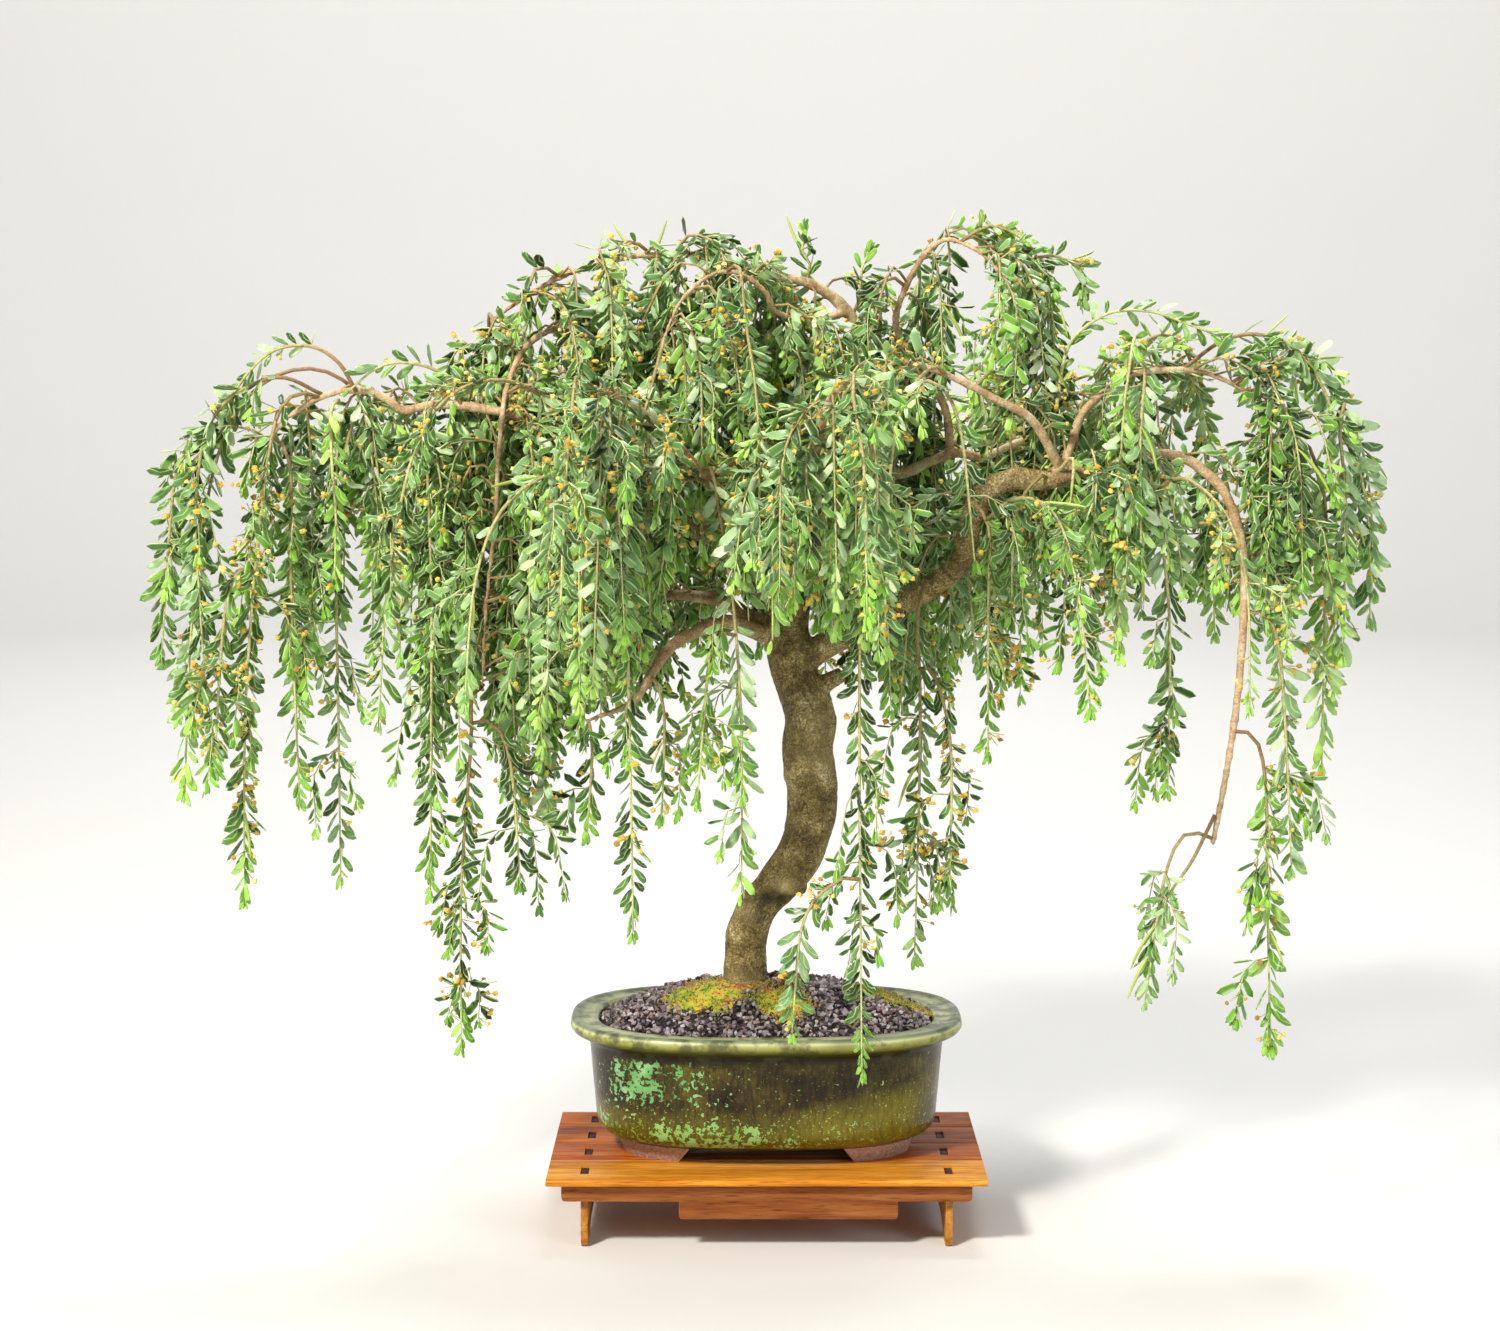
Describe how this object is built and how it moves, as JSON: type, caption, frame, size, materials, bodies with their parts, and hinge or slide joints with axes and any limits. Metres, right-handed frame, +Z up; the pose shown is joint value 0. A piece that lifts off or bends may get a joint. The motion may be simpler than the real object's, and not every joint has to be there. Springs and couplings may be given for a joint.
{
  "type": "weeping wattle bonsai in an oval pot on a slatted stand",
  "caption": "Weeping wattle bonsai with a curved trunk and long hanging leafy shoots, in a glazed oval pot that stands on a low slatted timber stand.",
  "frame": {"origin": "on the ground under the middle of the stand", "axes": "+X to the right seen from the front, along the stand and the tree's longest spread; +Y to the back; +Z up"},
  "size_m": [0.8966, 0.5446, 0.7502],
  "materials": {
    "timber_dark": "oiled red-brown hardwood, satin",
    "timber_gold": "oiled golden-orange hardwood, satin",
    "glaze": "dark olive glaze with pale green crystals, bare clay feet",
    "bark": "smooth olive-brown bark with cross ridges, tan on young limbs",
    "grit": "dark grey scoria grit",
    "moss": "yellow-green moss",
    "foliage": "green leaves with yellow flower heads"
  },
  "bodies": {
    "root": {"slat_front": "timber_gold", "slat_second": "timber_dark", "slat_third": "timber_dark", "slat_back": "timber_dark", "leg_left": "timber_dark", "leg_right": "timber_dark", "apron_front": "timber_dark", "apron_back": "timber_dark", "pot": "glaze", "wood": "bark", "soil": "grit", "moss_left": "moss", "moss_front": "moss", "moss_right": "moss", "spray_left_crest": "foliage", "spray_left_outer": "foliage", "spray_left_tail": "foliage", "spray_left_middle": "foliage", "spray_left_inner": "foliage", "spray_brown_stem_tip": "foliage", "spray_brown_stem_side": "foliage", "spray_brown_stem_top": "foliage", "spray_low_left_tip": "foliage", "spray_low_left_side": "foliage", "spray_low_back_left": "foliage", "spray_front_left_long": "foliage", "spray_front_left_pair": "foliage", "spray_front_left_end": "foliage", "spray_pot_front": "foliage", "spray_front_middle_pair": "foliage", "spray_front_middle_end": "foliage", "spray_right_low_pair": "foliage", "spray_right_bend": "foliage", "spray_right_short": "foliage", "spray_right_hanging_short": "foliage", "spray_right_hanging_long": "foliage", "spray_right_tail_left": "foliage", "spray_right_tail_long": "foliage", "spray_right_tail_upper": "foliage", "spray_right_outer": "foliage", "spray_right_outer_tail": "foliage", "spray_right_front": "foliage", "spray_right_back_pair": "foliage", "spray_peak_arch": "foliage", "spray_peak_tail": "foliage", "spray_peak_left": "foliage", "spray_arch_tail": "foliage", "spray_arch_crest": "foliage", "spray_crown_right": "foliage", "spray_crown_middle": "foliage", "spray_crown_left": "foliage", "spray_crown_end": "foliage", "spray_upright_left": "foliage", "spray_upright_right": "foliage", "spray_middle_right_end": "foliage", "spray_middle_right": "foliage", "spray_back_right_end": "foliage", "spray_back_middle_end": "foliage", "spray_back_left_end": "foliage", "spray_back_left": "foliage"}
  },
  "joints": []
}
